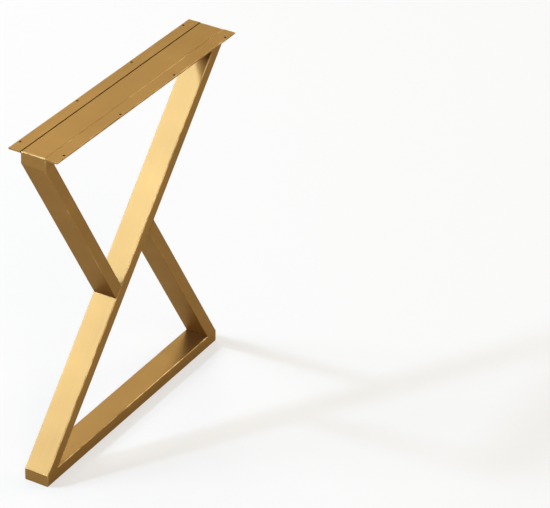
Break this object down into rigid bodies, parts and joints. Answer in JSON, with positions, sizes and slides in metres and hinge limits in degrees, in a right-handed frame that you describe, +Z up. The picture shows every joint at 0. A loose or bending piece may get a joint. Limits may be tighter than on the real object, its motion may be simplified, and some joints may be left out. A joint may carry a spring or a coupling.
{
  "type": "z-shaped table leg",
  "caption": "Z-shaped table leg of welded rectangular steel tube in satin gold, with braces and drilled mounting strips along its top bar that screw to the underside of a table top.",
  "frame": {"origin": "middle of the footprint, on the floor", "axes": "+X along the leg's length, towards the end where the diagonal reaches the top bar; +Y across the leg; +Z up"},
  "size_m": [0.59, 0.1, 0.68],
  "materials": {
    "gold_coat": "satin gold coat on steel"
  },
  "bodies": {
    "root": {"top_bar": "gold_coat", "top_bar_left_end_plate": "gold_coat", "top_bar_right_end_plate": "gold_coat", "bottom_bar": "gold_coat", "bottom_bar_left_end_plate": "gold_coat", "bottom_bar_right_end_plate": "gold_coat", "diagonal_tube": "gold_coat", "upper_brace": "gold_coat", "lower_brace": "gold_coat", "front_mounting_strip": "gold_coat", "rear_mounting_strip": "gold_coat"}
  },
  "joints": []
}
